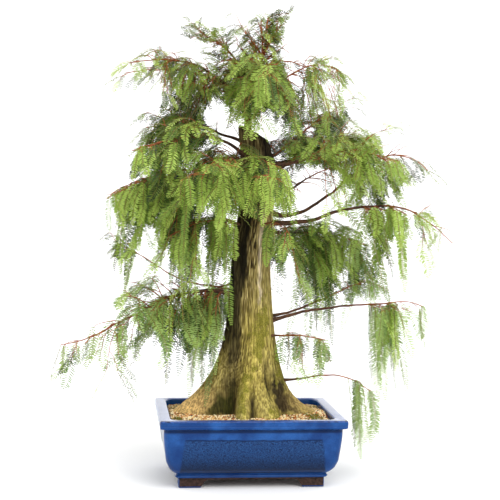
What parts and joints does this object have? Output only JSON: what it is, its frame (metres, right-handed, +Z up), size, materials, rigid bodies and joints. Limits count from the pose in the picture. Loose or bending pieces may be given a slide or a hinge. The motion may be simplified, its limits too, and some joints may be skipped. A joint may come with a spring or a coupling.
{
  "type": "potted bald cypress bonsai",
  "caption": "Bald cypress grown as a bonsai: a flared trunk with weeping boughs of fine needles, standing in a blue glazed rectangular pot on corner feet.",
  "frame": {"origin": "under the middle of the whole plant's bounding box, on the plane that the pot's four feet stand on", "axes": "+Z up along the trunk; +X to the right seen from the front, along the pot's long side; +Y to the back"},
  "size_m": [0.8756, 0.5988, 1.0289],
  "materials": {
    "pot_glaze": "bright blue gloss glaze over red-brown clay",
    "soil": "loose damp grains of clay and lava with patches of moss",
    "bark": "fibrous fissured bark with moss",
    "bough_bark": "thin red-brown bark",
    "needles": "soft matt green needles"
  },
  "bodies": {
    "root": {"pot": "pot_glaze", "soil": "soil", "trunk": "bark", "bough_back_left": "bough_bark", "bough_back_lowest": "bough_bark", "bough_back_right": "bough_bark", "bough_back_upper": "bough_bark", "bough_left_front": "bough_bark", "bough_left_lowest": "bough_bark", "bough_left_middle": "bough_bark", "bough_left_middle_back": "bough_bark", "bough_left_slender": "bough_bark", "bough_left_upper": "bough_bark", "bough_left_upper_back": "bough_bark", "bough_right_high": "bough_bark", "bough_right_lowest": "bough_bark", "bough_right_middle": "bough_bark", "bough_right_middle_high": "bough_bark", "bough_right_middle_low": "bough_bark", "bough_right_rear": "bough_bark", "bough_right_skirt": "bough_bark", "bough_right_skirt_back": "bough_bark", "bough_right_upper": "bough_bark", "bough_right_upper_back": "bough_bark", "bough_top_left": "bough_bark", "bough_top_left_back": "bough_bark", "bough_top_right": "bough_bark", "foliage_back_left": "needles", "foliage_back_lowest": "needles", "foliage_back_right": "needles", "foliage_back_upper": "needles", "foliage_front": "needles", "foliage_front_weeping": "needles", "foliage_left_front": "needles", "foliage_left_lowest": "needles", "foliage_left_middle": "needles", "foliage_left_middle_back": "needles", "foliage_left_slender": "needles", "foliage_left_upper": "needles", "foliage_left_upper_back": "needles", "foliage_left_weeping": "needles", "foliage_right_high": "needles", "foliage_right_lowest": "needles", "foliage_right_middle": "needles", "foliage_right_middle_high": "needles", "foliage_right_middle_low": "needles", "foliage_right_rear": "needles", "foliage_right_skirt": "needles", "foliage_right_skirt_back": "needles", "foliage_right_stub": "needles", "foliage_right_upper": "needles", "foliage_right_upper_back": "needles", "foliage_top": "needles", "foliage_top_back": "needles", "foliage_top_front": "needles", "foliage_top_left": "needles", "foliage_top_left_back": "needles", "foliage_top_left_high": "needles", "foliage_top_right": "needles", "foliage_top_right_back": "needles"}
  },
  "joints": []
}
